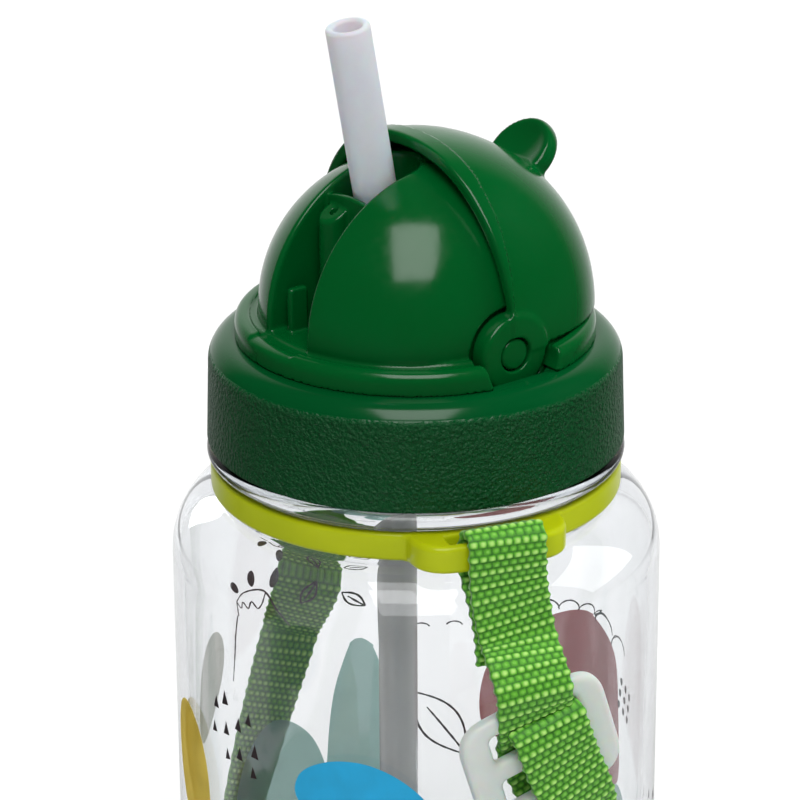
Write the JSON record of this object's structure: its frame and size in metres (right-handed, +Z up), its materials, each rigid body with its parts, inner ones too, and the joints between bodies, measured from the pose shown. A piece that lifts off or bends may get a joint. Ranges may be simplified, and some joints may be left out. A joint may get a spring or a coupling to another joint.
{
  "type": "kids flip-straw water bottle",
  "caption": "Clear child's water bottle with a green screw lid, flip cover over a folding silicone spout, inner straw and webbing shoulder strap with slider.",
  "frame": {"origin": "centre of the base, on the surface the bottle stands on", "axes": "+Z up along the bottle axis, X along the cover's hinge, -Y the front that the spout folds towards"},
  "size_m": [0.138, 0.138, 0.1927],
  "materials": {
    "clear_body": "clear gloss copolyester",
    "green_plastic": "gloss",
    "grained_plastic": "fine pebble grain",
    "lime_plastic": "satin gloss",
    "silicone": "translucent satin",
    "seal_silicone": "satin",
    "straw_plastic": "translucent satin",
    "webbing": "coarse woven",
    "slider_plastic": "translucent satin"
  },
  "bodies": {
    "bottle": {"bottle_body": "clear_body"},
    "strap_carrier": {"strap_ring": "lime_plastic", "strap_front_run": "webbing", "strap_back_run": "webbing", "strap_coil": "webbing", "strap_slider": "slider_plastic"},
    "seal": {"lid_seal": "seal_silicone"},
    "lid": {"lid_collar": "grained_plastic", "spout_housing": "green_plastic", "vent_valve": "seal_silicone", "pivot_pin_left": "green_plastic", "pivot_pin_right": "green_plastic", "spout_root": "silicone", "lower_straw": "straw_plastic"},
    "cover": {"flip_cover": "green_plastic"},
    "spout_a": {"spout_elbow_lower": "silicone"},
    "spout_b": {"spout_elbow_upper": "silicone"},
    "spout_c": {"spout_tube": "silicone"}
  },
  "joints": [
    {"name": "ring_turn", "type": "hinge", "parent": "bottle", "child": "strap_carrier", "pos_m": [0, 0, 0.1204], "axis": [0, 0, 1], "continuous": true},
    {"name": "lid_lift", "type": "slide", "parent": "bottle", "child": "seal", "axis": [0, 0, 1], "range_m": [0, 0.14]},
    {"name": "lid_turn", "type": "hinge", "parent": "seal", "child": "lid", "pos_m": [0, 0, 0.139], "axis": [0, 0, 1], "continuous": true},
    {"name": "cover_hinge", "type": "hinge", "parent": "lid", "child": "cover", "pos_m": [0, 0, 0.1458], "axis": [1, 0, 0], "range_deg": [0, 82], "deforming": ["spout_elbow_lower", "spout_elbow_upper", "spout_tube"]},
    {"name": "spout_bend_a", "type": "hinge", "parent": "lid", "child": "spout_a", "pos_m": [0, -0.0069, 0.16377], "axis": [1, 0, 0], "range_deg": [0, 52.5]},
    {"name": "spout_bend_b", "type": "hinge", "parent": "spout_a", "child": "spout_b", "pos_m": [0, -0.0078, 0.16869], "axis": [1, 0, 0], "range_deg": [0, 66.5]},
    {"name": "spout_bend_c", "type": "hinge", "parent": "spout_b", "child": "spout_c", "pos_m": [0, -0.00905, 0.17558], "axis": [1, 0, 0], "range_deg": [0, 30.5]}
  ],
  "couplings": [
    {"joint": "spout_bend_a", "follows": "cover_hinge", "ratio": 0.63415},
    {"joint": "spout_bend_b", "follows": "cover_hinge", "ratio": 0.80488},
    {"joint": "spout_bend_c", "follows": "cover_hinge", "ratio": 0.36585}
  ]
}
